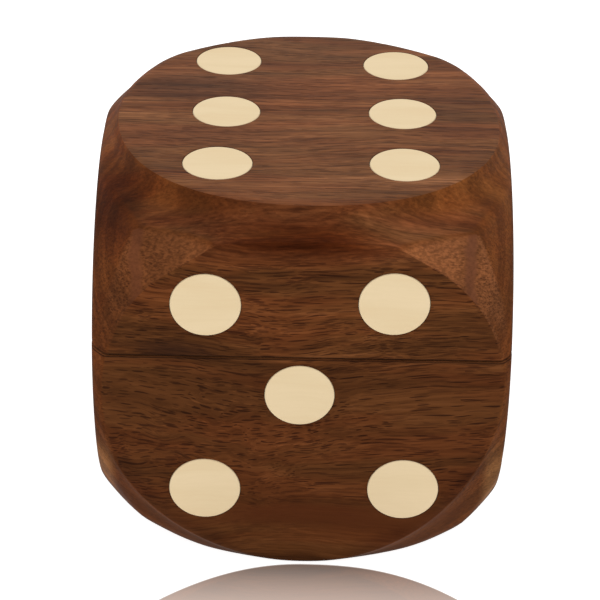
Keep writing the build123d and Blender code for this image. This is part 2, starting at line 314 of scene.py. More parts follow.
# ------------------------------------------------------------------ cutters
def ring_prism(name, rings, flip=False):
    """A closed solid from a stack of rings with the same number of points."""
    verts, faces = [], []
    n = len(rings[0])
    for ring in rings:
        verts += [tuple(p) for p in ring]
    faces.append(list(range(n)))
    faces.append(list(range((len(rings) - 1) * n, len(rings) * n)))
    for k in range(len(rings) - 1):
        for i in range(n):
            j = (i + 1) % n
            faces.append([k * n + i, k * n + j, (k + 1) * n + j, (k + 1) * n + i])
    return mesh_object(name, verts, faces)


def rounded_square(side, r, z, arc=14):
    pts = []
    h = side / 2 - r
    for q, (sx, sy) in enumerate(((1, 1), (-1, 1), (-1, -1), (1, -1))):
        for i in range(arc + 1):
            t = math.pi / 2 * (q + i / arc)
            pts.append((sx * h + r * math.cos(t), sy * h + r * math.sin(t), z))
    return pts


def hollow(name, rim, end, way):
    """The hollow of one half, from its rim to its end; way is -1 down, +1 up."""
    ease = 0.00035          # softened mouth
    levels = [(rim - way * 0.006, -ease), (rim - way * 0.00001, -ease)]
    for i in range(1, 6):
        t = math.pi / 2 * i / 5
        levels.append((rim + way * ease * (1 - math.cos(t)), -ease * (1 - math.sin(t))))
    for i in range(0, 9):       # filleted floor
        t = math.pi / 2 * i / 8
        levels.append((end - way * FLOOR_FILLET * (1 - math.sin(t)), FLOOR_FILLET * (1 - math.cos(t))))
    return ring_prism(name, [rounded_square(CAVITY - 2 * off, CAVITY_R - off, z) for z, off in levels])


def cylinder(name, centre, axis, r, low, high, n=64):
    """A cylinder round the given point, along x, y or z (0, 1, 2) from low to high."""
    rings = []
    for w in (low, high):
        ring = []
        for i in range(n):
            t = 2 * math.pi * i / n
            p = [0, 0, 0]
            p[axis] = w
            p[(axis + 1) % 3] = centre[(axis + 1) % 3] + r * math.cos(t)
            p[(axis + 2) % 3] = centre[(axis + 2) % 3] + r * math.sin(t)
            ring.append(tuple(p))
        rings.append(ring)
    return ring_prism(name, rings)


def bar(name, x0, x1, y0, y1, z0, z1):
    return ring_prism(name, [[(x0, y0, z), (x1, y0, z), (x1, y1, z), (x0, y1, z)] for z in (z0, z1)])


def pip_cutters(body):
    """One pocket for each pip that rides on this body, read from the CAD pip's own box."""
    made = []
    for node in NODES:
        if not node.startswith("pip_") or frame["record"]["behaviour"]["bodies"][body].count(node) == 0:
            continue
        lo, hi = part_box(node)
        face = node.split("_")[1]
        axis, sign = {"top": (2, 1), "bottom": (2, -1), "front": (1, -1), "back": (1, 1),
                      "left": (0, -1), "right": (0, 1)}[face]
        centre = (lo + hi) / 2
        r = (hi - lo)[(axis + 1) % 3] / 2 + GLUE
        ends = (hi[axis] - PIP_T, hi[axis] + 0.004) if sign > 0 else (lo[axis] - 0.004, lo[axis] + PIP_T)
        made.append(cylinder("cut_" + node, centre, axis, r, ends[0], ends[1], 128))
    return made


def hinge_cutters(rim, way):
    made = []
    slope = math.tan(math.radians(STOP_ANGLE))
    out = A + 0.001
    tri = [(AXIS_Y, rim - way * 0.002), (out, rim - way * 0.002), (out, rim + way * (out - AXIS_Y) * slope), (AXIS_Y, rim)]
    made.append(ring_prism("cut_groove", [[(x, y, z) for y, z in tri] for x in (-0.045, 0.045)]))
    for side in (-1, 1):
        x = side * HINGE_X
        z0, z1 = sorted((rim - way * 0.0015, rim + way * MORTISE))
        made.append(bar("cut_mortise", x - HINGE_L / 2 - 0.00005, x + HINGE_L / 2 + 0.00005, LEAF_IN, AXIS_Y, z0, z1))
        made.append(cylinder("cut_notch", (x, AXIS_Y, AXIS_Z), 0, NOTCH_R, x - HINGE_L / 2 - 0.0006, x + HINGE_L / 2 + 0.0006, 64))
        for sx in (-SCREW_X, SCREW_X):
            z0, z1 = sorted((rim - way * 0.001, rim + way * SCREW_L))
            made.append(cylinder("cut_screw", (x + sx, SCREW_Y, 0), 2, SCREW_R, z0, z1, 32))
        z0, z1 = sorted((rim - way * 0.001, rim + way * MAGNET_T))
        made.append(cylinder("cut_magnet", (side * MAGNET_X, MAGNET_Y, 0), 2, MAGNET_R, z0, z1, 64))
    return made


# ------------------------------------------------------------------ shells
def half_block(name, P, faces, rim, keep, shift):
    """One half of the block, in metres, with a softened rim.  keep is +1 for the part
    above the rim; shift is how far the lid came down when the saw took its share."""
    V = P * A + np.array([0, 0, A - shift])
    obj = mesh_object(name, V, faces)
    bm = bmesh.new()
    bm.from_mesh(obj.data)
    bmesh.ops.bisect_plane(bm, geom=bm.verts[:] + bm.edges[:] + bm.faces[:], dist=1e-7,
                           plane_co=(0, 0, rim), plane_no=(0, 0, -keep), clear_outer=True)
    # close rings next to the rim, then ease it over
    ROUND = 0.00022
    for step in (0.35, 0.65, 1.0, 1.6):
        bmesh.ops.bisect_plane(bm, geom=bm.verts[:] + bm.edges[:] + bm.faces[:], dist=1e-7,
                               plane_co=(0, 0, rim + keep * step * ROUND), plane_no=(0, 0, -keep))
    bmesh.ops.remove_doubles(bm, verts=bm.verts[:], dist=2e-6)
    near = [v for v in bm.verts if abs(v.co.z - rim) < ROUND]
    Q = np.array([v.co for v in near]) / A - np.array([0, 0, 1 - shift / A])
    G = gradient(Q)
    G[:, 2] = 0
    G /= np.linalg.norm(G, axis=1, keepdims=True)
    for v, g in zip(near, G):
        d = abs(v.co.z - rim)
        inset = ROUND - math.sqrt(max(ROUND ** 2 - (ROUND - d) ** 2, 0))
        v.co.x -= g[0] * inset
        v.co.y -= g[1] * inset
    loop = [e for e in bm.edges if e.is_boundary]
    bmesh.ops.contextual_create(bm, geom=loop)
    bmesh.ops.recalc_face_normals(bm, faces=bm.faces)
    bm.to_mesh(obj.data)
    bm.free()
    return obj


def cut(obj, cutters):
    group = bpy.data.collections.new("cutters_" + obj.name)
    scene.collection.children.link(group)
    for c in cutters:
        scene.collection.objects.unlink(c)
        group.objects.link(c)
    mod = obj.modifiers.new("cut", "BOOLEAN")
    mod.operation = "DIFFERENCE"
    mod.operand_type = "COLLECTION"
    mod.collection = group
    mod.solver = "MANIFOLD"
    bpy.context.view_layer.update()
    done = bpy.data.meshes.new_from_object(obj.evaluated_get(bpy.context.evaluated_depsgraph_get()))
    obj.modifiers.clear()
    obj.data = done
    for c in cutters:
        bpy.data.objects.remove(c)
    bpy.data.collections.remove(group)


def shade(obj, shift, rim, keep):
    """Shading normals: those of the turned block itself on its skin, by angle elsewhere;
    and material index 1 on the bare inside of the hollow."""
    mesh = obj.data
    mesh.polygons.foreach_set("use_smooth", [True] * len(mesh.polygons))
    mesh.set_sharp_from_angle(angle=math.radians(32))
    nv, nl, nf = len(mesh.vertices), len(mesh.loops), len(mesh.polygons)
    co = np.empty(nv * 3)
    mesh.vertices.foreach_get("co", co)
    co = co.reshape(-1, 3)
    Q = co / A - np.array([0, 0, 1 - shift / A])
    on_skin = np.abs(smooth(Q)) < 2e-4
    G = np.zeros_like(Q)
    G[on_skin] = gradient(Q[on_skin])
    corner_normals = np.empty(nl * 3, np.float32)
    mesh.corner_normals.foreach_get("vector", corner_normals)
    corner_normals = corner_normals.reshape(-1, 3)
    vert = np.empty(nl, np.int32)
    mesh.loops.foreach_get("vertex_index", vert)
    start, total = np.empty(nf, np.int32), np.empty(nf, np.int32)
    mesh.polygons.foreach_get("loop_start", start)
    mesh.polygons.foreach_get("loop_total", total)
    fn = np.empty(nf * 3, np.float32)
    mesh.polygons.foreach_get("normal", fn)
    fn = fn.reshape(-1, 3)
    face_of = np.repeat(np.arange(nf), total)
    agree = (G[vert] * fn[face_of]).sum(1) > 0.8
    use = on_skin[vert] & agree
    whole = np.ones(nf, bool)
    np.logical_and.at(whole, face_of, use)
    use &= whole[face_of]
    corner_normals[use] = G[vert][use]
    mesh.normals_split_custom_set([tuple(n) for n in corner_normals])
    centre = np.empty(nf * 3, np.float32)
    mesh.polygons.foreach_get("center", centre)
    centre = centre.reshape(-1, 3)
    half = CAVITY / 2 + 0.0002
    inside = (np.abs(centre[:, 0]) < half) & (np.abs(centre[:, 1]) < half)
    inside &= ((centre[:, 2] - rim) * keep > 0.0004) & (centre[:, 2] > FLOOR - 0.0003) & (centre[:, 2] < HEIGHT - ROOF + 0.0003)
    index = inside.astype(np.int32)
    mesh.polygons.foreach_set("material_index", index)
    mesh.update()


BLOCK, BLOCK_FACES = block_mesh()
base_shell = half_block("base_shell", BLOCK, BLOCK_FACES, SEAM, -1, 0.0)
lid_shell = half_block("lid_shell", BLOCK, BLOCK_FACES, RIM, 1, KERF)
cut(base_shell, [hollow("cut_hollow", SEAM, FLOOR, -1)] + pip_cutters("base") + hinge_cutters(SEAM, -1))
cut(lid_shell, [hollow("cut_hollow", RIM, HEIGHT - ROOF, 1)] + pip_cutters("lid") + hinge_cutters(RIM, 1))


# ------------------------------------------------------------------ shader helper
class Tree:
    """Builds a node tree with short calls."""

    def __init__(self, name):
        self.mat = bpy.data.materials.new(name)
        self.mat.use_nodes = True
        self.nt = self.mat.node_tree
        self.nt.nodes.clear()

    def node(self, kind, settings=None, **inputs):
        n = self.nt.nodes.new("ShaderNode" + kind)
        for k, v in (settings or {}).items():
            setattr(n, k, v)
        for k, v in inputs.items():
            self.put(n, k.replace("_", " "), v)
        return n

    def put(self, n, key, v):
        socket = n.inputs[int(key)] if str(key).isdigit() else n.inputs[key]
        if isinstance(v, bpy.types.NodeSocket):
            self.nt.links.new(v, socket)
        elif isinstance(v, bpy.types.Node):
            self.nt.links.new(v.outputs[0], socket)
        else:
            socket.default_value = v

    def math(self, op, a, b=None, c=None, clamp=False):
        n = self.nt.nodes.new("ShaderNodeMath")
        n.operation, n.use_clamp = op, clamp
        for i, v in enumerate((a, b, c)):
            if v is not None:
                self.put(n, i, v)
        return n.outputs[0]

    def vec(self, op, a, b=None, out=0):
        n = self.nt.nodes.new("ShaderNodeVectorMath")
        n.operation = op
        self.put(n, 0, a)
        if b is not None:
            self.put(n, 3 if op == "SCALE" else 1, b)
        return n.outputs[out]

    def noise(self, vector, scale=1.0, detail=2.0, rough=0.5, distort=0.0, colour=False):
        n = self.node("TexNoise", {"noise_dimensions": "3D"}, Vector=vector, Scale=scale, Detail=detail,
                      Roughness=rough, Distortion=distort)
        return n.outputs["Color" if colour else "Fac"]

    def range(self, v, a, b, c=0.0, d=1.0, smooth=True):
        n = self.nt.nodes.new("ShaderNodeMapRange")
        n.interpolation_type = "SMOOTHSTEP" if smooth else "LINEAR"
        n.clamp = True
        for i, x in enumerate((v, a, b, c, d)):
            self.put(n, i, x)
        return n.outputs[0]

    def mix(self, fac, a, b, blend="MIX"):
        n = self.nt.nodes.new("ShaderNodeMix")
        n.data_type, n.blend_type = "RGBA", blend
        n.clamp_result = False
        self.put(n, 0, fac)
        for key, v in ((6, a), (7, b)):
            self.put(n, key, v)
        return n.outputs[2]

    def ramp(self, fac, stops):
        n = self.nt.nodes.new("ShaderNodeValToRGB")
        self.put(n, 0, fac)
        els = n.color_ramp.elements
        while len(els) < len(stops):
            els.new(0.5)
        for e, (p, c) in zip(els, stops):
            e.position, e.color = p, c
        return n.outputs[0]

    def out(self, shader):
        o = self.nt.nodes.new("ShaderNodeOutputMaterial")
        self.nt.links.new(shader.outputs[0], o.inputs[0])


def srgb(r, g, b, gain=1.0):
    def lin(v):
        v /= 255
        return v / 12.92 if v <= 0.04045 else ((v + 0.055) / 1.055) ** 2.4
    return (lin(r) * gain, lin(g) * gain, lin(b) * gain, 1.0)


# ------------------------------------------------------------------ dark wood
def dark_wood(name, lift, bare=False):
    """Oiled rosewood, solid, with its grain along x.  lift moves the lid's pattern up
    by what the saw took, so that the figure runs on across the seam."""
    t = Tree(name)
    coord = t.node("TexCoord")
    q0 = t.vec("ADD", t.vec("SCALE", coord.outputs["Object"], 1000.0), (0.0, 0.0, lift * 1000))
    n = t.node("SeparateXYZ", Vector=coord.outputs["Normal"])
    nx, ny, nz = (t.math("ABSOLUTE", n.outputs[i]) for i in range(3))
    top = t.range(nz, 0.955, 0.985)
    across = t.range(nx, 0.14, 0.42)
    place = t.node("SeparateXYZ", Vector=q0)
    rightward = t.range(place.outputs[0], -34.0, 34.0, smooth=False)
    facet = t.math("MULTIPLY", t.range(nx, 0.20, 0.36), t.range(ny, 0.50, 0.68))
    facet = t.math("MULTIPLY", facet, t.range(nx, 0.60, 0.76, 1.0, 0.0))
    facet = t.math("MULTIPLY", facet, t.range(place.outputs[2], 46.0, 58.0, 0.20, 1.0))
    facet = t.math("MULTIPLY", facet, t.range(place.outputs[2], 69.6, 71.4, 1.0, 0.0))
    ridge = t.math("MULTIPLY", t.range(nz, 0.45, 0.75), t.math("SUBTRACT", 1.0, top))
    low = t.range(place.outputs[2], 41.0, 46.0, 1.0, 0.0)
    turned = t.math("MULTIPLY", t.range(place.outputs[2], 66.5, 69.0), t.math("SUBTRACT", 1.0, top))
    upper = t.math("MULTIPLY", t.math("SUBTRACT", 1.0, low), t.math("SUBTRACT", 1.0, t.math("MAXIMUM", top, turned)))

    # slow wander of the fibres, and a finer one
    slow = t.noise(t.vec("MULTIPLY", q0, (1 / 46, 1 / 26, 1 / 26)), 1.0, 1.0, 0.4, colour=True)
    slow = t.vec("MULTIPLY", t.vec("SUBTRACT", slow, (0.5, 0.5, 0.5)), (0.0, 11.0, 11.0))
    slow = t.vec("SCALE", slow, t.math("MULTIPLY_ADD", top, -0.5, 1.0))
    fine = t.noise(t.vec("MULTIPLY", q0, (1 / 9, 1 / 4, 1 / 4)), 1.0, 1.0, 0.5, colour=True)
    fine = t.vec("MULTIPLY", t.vec("SUBTRACT", fine, (0.5, 0.5, 0.5)), (0.0, 0.9, 0.9))
    fine = t.vec("SCALE", fine, t.math("MULTIPLY_ADD", top, -0.6, 1.0))
    # curly grain round a knot that lies behind the lower left of the front
    away = t.vec("LENGTH", t.vec("MULTIPLY", t.vec("SUBTRACT", q0, (-17.0, -36.0, 28.0)), (0.62, 0.6, 0.85)), out=1)
    near = t.range(away, 3.0, 18.0, 1.0, 0.0)
    curl = t.noise(t.vec("MULTIPLY", q0, (1 / 6.5, 1 / 6.5, 1 / 6.5)), 1.0, 1.0, 0.5, colour=True)
    curl = t.vec("SCALE", t.vec("MULTIPLY", t.vec("SUBTRACT", curl, (0.5, 0.5, 0.5)), (2.0, 4.6, 4.6)), near)
    q = t.vec("ADD", t.vec("ADD", q0, slow), t.vec("ADD", fine, curl))

    # growth layers about a pith well behind the block
    ring = t.vec("LENGTH", t.vec("MULTIPLY", t.vec("SUBTRACT", q, (0.0, 66.0, -20.0)), (0.0, 1.0, 1.0)), out=1)
    layer = t.node("TexNoise", {"noise_dimensions": "1D"}, W=t.math("MULTIPLY", ring, 1 / 3.1), Scale=1.0,
                   Detail=3.0, Roughness=0.6).outputs["Fac"]
    layer = t.range(layer, 0.32, 0.68)
    bands = t.range(t.noise(t.vec("MULTIPLY", q, (1 / 60, 1 / 2.6, 1 / 2.6)), 1.0, 3.0, 0.55), 0.3, 0.7)
    streak = t.range(t.noise(t.vec("MULTIPLY", q, (1 / 14, 1 / 0.55, 1 / 0.55)), 1.0, 2.0, 0.6), 0.28, 0.72)
    patch = t.range(t.noise(t.vec("MULTIPLY", q0, (1 / 40, 1 / 17, 1 / 17)), 1.0, 1.0, 0.5), 0.36, 0.64)
    hue = t.range(t.noise(t.vec("MULTIPLY", t.vec("ADD", q, (40.0, 11.0, 5.0)), (1 / 40, 1 / 6, 1 / 6)), 1.0, 2.0, 0.5), 0.38, 0.62)

    tone = t.math("ADD", t.math("MULTIPLY", layer, 0.22), t.math("MULTIPLY", bands, 0.28))
    tone = t.math("ADD", tone, t.math("MULTIPLY", streak, 0.32))
    tone = t.math("ADD", tone, t.math("MULTIPLY", patch, 0.18))
    tone = t.math("MULTIPLY_ADD", t.math("SUBTRACT", tone, 0.5), t.math("MULTIPLY_ADD", low, -0.20, 0.80), 0.5)
    calm = t.math("SUBTRACT", t.math("MULTIPLY_ADD", top, -0.45, 1.0), t.math("MULTIPLY", t.math("MAXIMUM", low, t.math("MULTIPLY", upper, 0.8)), 0.45))
    hue = t.math("MULTIPLY_ADD", t.math("SUBTRACT", hue, 0.5), calm, 0.5)
    brown = t.ramp(tone, [(0.10, srgb(58, 33, 14)), (0.38, srgb(80, 47, 20)), (0.60, srgb(97, 58, 26)), (0.90, srgb(124, 77, 39))])
    red = t.ramp(tone, [(0.10, srgb(57, 27, 11)), (0.38, srgb(82, 41, 16)), (0.60, srgb(99, 52, 22)), (0.90, srgb(124, 70, 33))])
    colour = t.mix(hue, brown, red)
    straight = t.noise(t.vec("MULTIPLY", q, (1 / 22, 1 / 0.42, 1 / 0.42)), 1.0, 2.0, 0.6)
    colour = t.vec("SCALE", colour, t.math("MULTIPLY_ADD", t.math("MULTIPLY", t.range(straight, 0.32, 0.68, -1.0, 1.0), top), 0.07, 1.0))
    # painted sheen: the top is made greyer and paler than the turned bevels round it, standing in for the bright
    # backdrop it mirrors
    colour = t.mix(t.math("MULTIPLY", top, 0.75), colour, t.mix(1.0, colour, (1.22, 1.46, 2.0, 1.0), "MULTIPLY"))

    # vessels: short dark dashes along the grain, dots across it
    def vessels(offset, cell, thick, share, seed_scale, source=None, edge=0.70):
        v = t.vec("MULTIPLY", t.vec("ADD", source or q, offset), (1 / cell[0], 1 / cell[1], 1 / cell[1]))
        v = t.vec("ADD", v, t.vec("SCALE", t.vec("SUBTRACT", t.noise(v, seed_scale, 1.0, 0.5, colour=True), (0.5, 0.5, 0.5)), 0.5))
        vor = t.node("TexVoronoi", {"feature": "F1"}, Vector=v, Scale=1.0, Randomness=1.0)
        luck = t.node("SeparateColor", Color=vor.outputs["Color"])
        size = t.math("MULTIPLY_ADD", luck.outputs[1], thick * 0.6, thick * 0.7)
        body = t.range(vor.outputs["Distance"], size, t.math("MULTIPLY", size, edge), 0.0, 1.0)
        return t.math("MULTIPLY", body, t.math("GREATER_THAN", share, luck.outputs[0]))

    rich = t.range(t.noise(t.vec("MULTIPLY", q0, (1 / 22, 1 / 8, 1 / 8)), 1.0, 1.0, 0.5), 0.36, 0.62, 0.30, 1.0)
    long_ones = vessels((3.0, 1.0, 2.0), (8.0, 0.44), 0.40, rich, 0.9)
    short_ones = vessels((9.0, 5.0, 7.0), (3.4, 0.36), 0.40, t.math("MULTIPLY", rich, 0.9), 1.1)
    fine_ones = t.math("MULTIPLY", t.range(rightward, 0.30, 0.62, 0.10, 0.80), t.range(place.outputs[2], 14.0, 20.0, 0.25, 1.0))
    fine_ones = t.math("MAXIMUM", fine_ones, t.math("MULTIPLY", upper, 0.7))
    fine_ones = vessels((1.0, 7.0, 3.0), (10.0, 0.42), 0.34, t.math("MULTIPLY", fine_ones, t.math("SUBTRACT", 1.0, top)), 0.7)
    # beside the knot the fibres close in from left to right, as in a feather
    feather = t.vec("LENGTH", t.vec("MULTIPLY", t.vec("SUBTRACT", q0, (-11.0, -38.0, 31.5)), (1 / 19, 1 / 10, 1 / 10.5)), out=1)
    feather = t.range(feather, 0.45, 1.15, 1.0, 0.0)
    spread = t.math("MULTIPLY_ADD", t.math("MAXIMUM", t.math("SUBTRACT", 3.0, place.outputs[0]), 0.0), 1 / 30, 1.0)
    lines = t.math("DIVIDE", t.math("SUBTRACT", place.outputs[2], 31.5), spread)
    lines = t.node("CombineXYZ", X=place.outputs[0], Y=place.outputs[1], Z=lines)
    lines = t.vec("ADD", lines, t.vec("SCALE", t.vec("ADD", slow, fine), 0.5))
    quills = vessels((2.0, 3.0, 8.0), (3.3, 0.30), 0.40, t.math("MULTIPLY", feather, 0.75), 1.0, lines)
    pale_quills = vessels((7.0, 4.0, 1.0), (2.6, 0.26), 0.36, t.math("MULTIPLY", feather, 0.5), 1.0, lines)
    smear = t.range(t.noise(t.vec("MULTIPLY", t.vec("ADD", q, (5.0, 3.0, 1.0)), (1 / 6.5, 1 / 0.36, 1 / 0.36)), 1.0, 1.0, 0.5), 0.56, 0.70)
    # painted light from above: the more a surface faces up, the paler its colour, up to 1.43 times on the top
    colour = t.vec("SCALE", colour, t.range(n.outputs[2], 0.0, 1.0, 1.0, 1.43, smooth=False))

    colour = t.vec("SCALE", colour, t.math("MULTIPLY_ADD", t.range(ny, 0.85, 0.97), t.range(place.outputs[2], 44.0, 60.0, 0.0, 0.10), 1.0))
    # painted shade: the colour darkens over the lowest 7 mm, where the block nears the floor
    colour = t.vec("SCALE", colour, t.range(place.outputs[2], 0.5, 7.0, 0.74, 1.0))
    colour = t.mix(ridge, colour, t.mix(1.0, colour, (1.0, 1.03, 1.14, 1.0), "MULTIPLY"))
    # the front bevel under the top runs from dark at its left to pale right of the middle
    under = t.math("MULTIPLY", turned, t.range(place.outputs[1], -25.0, -20.0, 1.0, 0.0))
    for x, wide, much in ((-32.0, 6.0, (-0.40, -0.40, -0.36)), (-18.0, 14.0, (-0.34, -0.34, -0.30)), (-2.0, 13.0, (-0.22, -0.18, -0.08)),
                          (18.0, 16.0, (0.32, 0.40, 0.60)), (33.0, 8.0, (-0.36, -0.36, -0.36))):
        bump = t.range(t.math("ABSOLUTE", t.math("SUBTRACT", place.outputs[0], x)), 0.0, wide, 1.0, 0.0)
        bump = t.vec("ADD", t.vec("SCALE", much, t.math("MULTIPLY", bump, under)), (1.0, 1.0, 1.0))
        colour = t.vec("MULTIPLY", colour, bump)
    # the top is palest just in front of and behind its middle
    for y, much in ((-18.0, 0.16), (12.0, 0.13)):
        glow = t.vec("LENGTH", t.vec("MULTIPLY", t.vec("SUBTRACT", q0, (1.0, y, 76.0)), (1 / 17, 1 / 8, 1 / 12)), out=1)
        colour = t.vec("SCALE", colour, t.math("MULTIPLY_ADD", t.range(glow, 0.2, 1.2, much, 0.0), top, 1.0))
    # darker clouds in the top
    for centre, radii, much in (((-22.0, 14.0, 76.0), (22, 9, 12), 1.0), ((-18.0, -5.0, 76.0), (16, 7, 12), 0.40), ((28.0, 6.0, 76.0), (12, 12, 12), 0.35),
                                ((0.0, 34.0, 76.0), (44, 17, 12), 0.45), ((4.0, -21.0, 76.0), (34, 8, 12), 0.12)):
        cloud = t.vec("LENGTH", t.vec("MULTIPLY", t.vec("SUBTRACT", q0, centre), tuple(1 / r for r in radii)), out=1)
        colour = t.mix(t.math("MULTIPLY", top, t.range(cloud, 0.1, 1.2, much, 0.0)), colour,
                       t.mix(1.0, colour, (0.56, 0.62, 0.74, 1.0), "MULTIPLY"))

    # cut across the fibres, the wood is smoother, with fine flecks and a trace of its rings
    fleck = t.noise(t.vec("MULTIPLY", q0, (1 / 0.9, 1 / 0.5, 1 / 0.5)), 1.0, 2.0, 0.6)
    fleck = t.range(fleck, 0.36, 0.64, -1.0, 1.0)
    rings = t.range(layer, 0.2, 0.8, 0.90, 1.10)
    dash = t.noise(t.vec("MULTIPLY", q, (1 / 2.4, 1 / 0.5, 1 / 0.5)), 1.0, 2.0, 0.6)
    dash = t.math("MULTIPLY", t.range(dash, 0.36, 0.64, -1.0, 1.0), turned)
    colour = t.vec("SCALE", colour, t.math("MULTIPLY_ADD", dash, 0.15, 1.0))
    tint = t.mix(rightward, (1.00, 0.85, 0.63, 1.0), (1.06, 0.97, 0.72, 1.0))
    # the plain colour here carries the same painted light from above, paler the more the surface faces up
    smooth_wood = t.mix(0.5, colour, t.vec("SCALE", srgb(92, 52, 27)[:3], t.range(n.outputs[2], 0.0, 1.0, 1.0, 1.43, smooth=False)))
    smooth_wood = t.vec("SCALE", t.mix(1.0, smooth_wood, tint, "MULTIPLY"), t.math("MULTIPLY", rings, t.math("MULTIPLY_ADD", fleck, 0.13, 1.0)))
    colour = t.mix(across, colour, smooth_wood)
    # painted shade darkens the lower corners beside the front, and a painted pale sheen lightens them at the side where
    # they turn away
    corner_zone = t.math("MULTIPLY", across, t.range(place.outputs[2], 24.0, 32.0, 1.0, 0.0))
    depth = t.math("ABSOLUTE", place.outputs[1])
    painted_sheen_mask = t.math("MULTIPLY", t.range(t.math("ABSOLUTE", place.outputs[0]), 33.6, 36.0), t.range(depth, 26.0, 31.0))
    painted_sheen_mask = t.math("MULTIPLY", painted_sheen_mask, t.range(place.outputs[2], 19.0, 27.0, 1.0, 0.35))
    shaded = t.mix(rightward, (0.98, 0.98, 0.90, 1.0), (0.82, 0.80, 0.76, 1.0))
    painted_sheen_tint = t.mix(rightward, (2.25, 3.20, 4.40, 1.0), (1.90, 2.70, 3.90, 1.0))
    colour = t.mix(corner_zone, colour, t.mix(1.0, colour, t.mix(painted_sheen_mask, shaded, painted_sheen_tint), "MULTIPLY"))
    # painted shade: the front darkens in a ring near its lower rim, standing in for the shading where the rounded edge
    # turns under
    rim_away = t.vec("LENGTH", t.vec("MULTIPLY", t.vec("SUBTRACT", q0, (0.0, 0.0, 38.1)), (1.0, 0.0, 1.0)), out=1)
    painted_rim_shade = t.math("MULTIPLY", t.range(rim_away, 32.8, 35.8), t.range(place.outputs[2], 20.0, 30.0, 1.0, 0.0))
    painted_rim_shade = t.math("MULTIPLY", painted_rim_shade, t.range(t.math("ABSOLUTE", place.outputs[0]), 8.0, 15.0, 0.15, 1.0))
    colour = t.mix(t.math("MULTIPLY", painted_rim_shade, t.range(ny, 0.80, 0.95)), colour, t.mix(1.0, colour, (0.76, 0.72, 0.78, 1.0), "MULTIPLY"))
    # the two upper corners of the front are pale, the right one more so, and banded
    # with smooth and flecked wood where they cut through the rings
    wobble = t.math("MULTIPLY", t.math("SUBTRACT", t.noise(t.vec("SCALE", q0, 1 / 5), 1.0, 2.0, 0.5), 0.5), 3.0)
    aside = t.math("ADD", t.math("ABSOLUTE", place.outputs[0]), wobble)
    zone = t.math("MAXIMUM", t.range(aside, 28.3, 29.3, 1.0, 0.0), t.range(aside, 30.2, 31.4, 0.0, 1.0))
    inner = t.math("ADD", t.range(aside, 26.8, 29.6, 0.11, -0.25), t.range(aside, 30.4, 32.0, 0.0, 0.09))
    inner = t.math("MULTIPLY_ADD", inner, t.range(rightward, 0.3, 0.7), 1.0)
    pale = t.mix(rightward, srgb(101, 59, 33), srgb(131, 81, 50))
    pale = t.mix(1.0, pale, t.mix(zone, (0.94, 0.92, 1.04, 1.0), (1.08, 1.06, 0.94, 1.0)), "MULTIPLY")
    pale = t.vec("SCALE", pale, t.math("MULTIPLY", t.math("MULTIPLY", rings, inner), t.range(place.outputs[2], 57.0, 68.0, 0.72, 1.16)))
    pale = t.vec("SCALE", pale, t.math("MULTIPLY_ADD", fleck, t.range(zone, 0.0, 1.0, 0.08, 0.24), 1.0))
    colour = t.mix(t.math("MULTIPLY", facet, 0.8), colour, pale)

    weight = t.math("SUBTRACT", t.math("MULTIPLY_ADD", top, -0.30, 0.84), t.math("MULTIPLY", across, 0.40))
    weight = t.math("MAXIMUM", t.math("SUBTRACT", weight, t.math("MULTIPLY", ridge, 0.26)), 0.20)
    weight = t.math("MULTIPLY", weight, t.range(place.outputs[2], 9.0, 18.0, 0.45, 1.0))
    weight = t.math("MULTIPLY", weight, t.math("MULTIPLY_ADD", t.math("MAXIMUM", ridge, turned), -0.62, 1.0))
    plain = t.math("SUBTRACT", 1.0, t.math("MULTIPLY", low, t.math("MAXIMUM", t.math("MULTIPLY", feather, 0.75), t.range(rightward, 0.35, 0.60, 0.15, 0.55))))
    weight = t.math("MULTIPLY", weight, t.mix(facet, (1.0, 1.0, 1.0, 1.0), t.range(zone, 0.1, 0.9, 0.20, 1.30)))
    other = t.math("MULTIPLY", t.math("MULTIPLY", weight, plain), t.math("MULTIPLY_ADD", upper, -0.30, 1.0))
    pores = t.math("MAXIMUM", t.math("MULTIPLY", long_ones, other), t.math("MULTIPLY", short_ones, t.math("MULTIPLY", other, 0.8)))
    pores = t.math("MAXIMUM", pores, t.math("MULTIPLY", smear, t.math("MULTIPLY", other, t.math("MULTIPLY_ADD", low, -0.35, 0.70))))
    pores = t.math("MAXIMUM", pores, t.math("MULTIPLY", fine_ones, weight))
    pores = t.math("MAXIMUM", pores, t.math("MULTIPLY", quills, t.math("MULTIPLY", weight, 0.9)))
    colour = t.vec("SCALE", colour, t.math("MULTIPLY_ADD", pale_quills, 0.30, 1.0))
    dark = t.mix(1.0, colour, (0.24, 0.21, 0.30, 1.0), "MULTIPLY")
    colour = t.mix(pores, colour, dark)
    colour = t.mix(1.0, colour, t.mix(across, (1.0, 1.0, 1.17, 1.0), (1.0, 1.0, 1.06, 1.0)), "MULTIPLY")
    colour = t.vec("SCALE", colour, t.math("MULTIPLY_ADD", low, -0.04, 1.0))
    # the middle of the lid's front is a little paler
    paler = t.vec("LENGTH", t.vec("MULTIPLY", t.vec("SUBTRACT", q0, (0.0, -38.0, 57.0)), (1 / 15, 1 / 10, 1 / 10)), out=1)
    colour = t.vec("SCALE", colour, t.range(paler, 0.4, 1.2, 1.10, 1.0))

    # dark spot in the wood just above the seam at the left of the front
    spot = t.vec("LENGTH", t.vec("MULTIPLY", t.vec("SUBTRACT", q, (-23.0, -38.0, 49.2)), (1 / 7.0, 1 / 6.0, 1 / 2.4)), out=1)
    colour = t.mix(t.range(spot, 0.3, 1.5, 0.72, 0.0), colour, srgb(44, 25, 17))
    # a smooth reddish band low on the front
    lens = t.vec("LENGTH", t.vec("MULTIPLY", t.vec("SUBTRACT", q, (6.0, -38.0, 11.0)), (1 / 34, 1 / 12, 1 / 3.6)), out=1)
    colour = t.mix(t.range(lens, 0.3, 1.2, 0.8, 0.0), colour, srgb(82, 41, 19))
